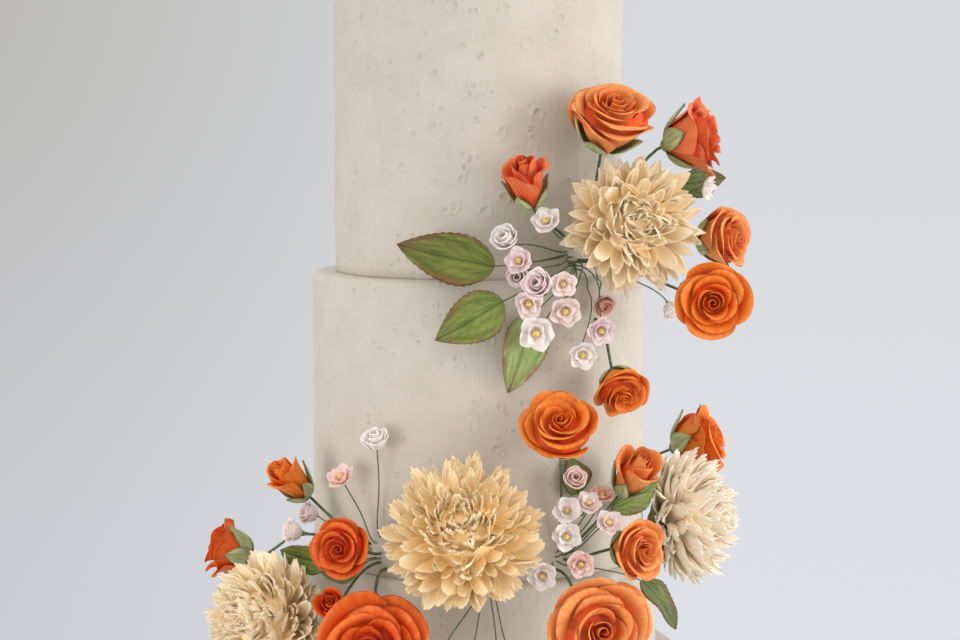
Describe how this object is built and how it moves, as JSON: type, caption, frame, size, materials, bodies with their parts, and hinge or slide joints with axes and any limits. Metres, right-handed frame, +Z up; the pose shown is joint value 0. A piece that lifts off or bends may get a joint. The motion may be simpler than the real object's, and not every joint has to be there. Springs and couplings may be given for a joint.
{
  "type": "tiered wedding cake",
  "caption": "Round stacked wedding cake in ivory textured icing, with clusters of wired sugar roses, dahlias, small blossoms and leaves at its front and side.",
  "frame": {"origin": "centre of the cake's underside, on the surface that it stands on", "axes": "+Z up along the tiers' common axis, -Y towards the front, where the large middle dahlia faces, +X to the right seen from the front"},
  "size_m": [0.3098, 0.2791, 0.532],
  "materials": {
    "ivory_icing": "matte ivory icing with fine pits and shallow raised rings",
    "orange_sugar": "dusted orange sugar paste petals, deep red-orange inside, paler at the edges",
    "coral_sugar": "dusted coral sugar paste petals",
    "cream_sugar": "dusted cream sugar paste petals with golden depths",
    "blush_sugar": "dusted pale pink sugar paste petals with yellow hearts",
    "green_sugar": "dusted green sugar paste with brown-red serrated edges"
  },
  "bodies": {
    "root": {"tier_bottom": "ivory_icing", "tier_third": "ivory_icing", "tier_second": "ivory_icing", "tier_top": "ivory_icing", "rose_a": "orange_sugar", "rose_b": "orange_sugar", "rose_c": "orange_sugar", "rose_d": "orange_sugar", "rose_e": "orange_sugar", "rose_f": "orange_sugar", "rose_g": "orange_sugar", "rose_h": "orange_sugar", "rose_i": "orange_sugar", "rose_j": "orange_sugar", "rose_k": "orange_sugar", "rose_l": "orange_sugar", "bud_a": "coral_sugar", "bud_b": "coral_sugar", "bud_c": "coral_sugar", "bud_d": "coral_sugar", "dahlia_a": "cream_sugar", "dahlia_b": "cream_sugar", "dahlia_c": "cream_sugar", "dahlia_d": "cream_sugar", "blossom_open_1": "blush_sugar", "blossom_open_2": "blush_sugar", "blossom_open_3": "blush_sugar", "blossom_open_4": "blush_sugar", "blossom_open_5": "blush_sugar", "blossom_open_6": "blush_sugar", "blossom_open_7": "blush_sugar", "blossom_open_8": "blush_sugar", "blossom_open_9": "blush_sugar", "blossom_open_10": "blush_sugar", "blossom_open_11": "blush_sugar", "blossom_open_12": "blush_sugar", "blossom_open_13": "blush_sugar", "blossom_open_14": "blush_sugar", "blossom_open_15": "blush_sugar", "blossom_open_16": "blush_sugar", "blossom_open_17": "blush_sugar", "blossom_shut_1": "blush_sugar", "blossom_shut_2": "blush_sugar", "blossom_shut_3": "blush_sugar", "blossom_shut_4": "blush_sugar", "blossom_shut_5": "blush_sugar", "blossom_shut_6": "blush_sugar", "blossom_shut_7": "blush_sugar", "blossom_shut_8": "blush_sugar", "blossom_shut_9": "blush_sugar", "blossom_spray": "blush_sugar", "leaf_a": "green_sugar", "leaf_b": "green_sugar", "leaf_c": "green_sugar", "leaf_d": "green_sugar", "leaf_e": "green_sugar", "leaf_f": "green_sugar", "leaf_g": "green_sugar", "leaf_h": "green_sugar", "leaf_i": "green_sugar"}
  },
  "joints": []
}
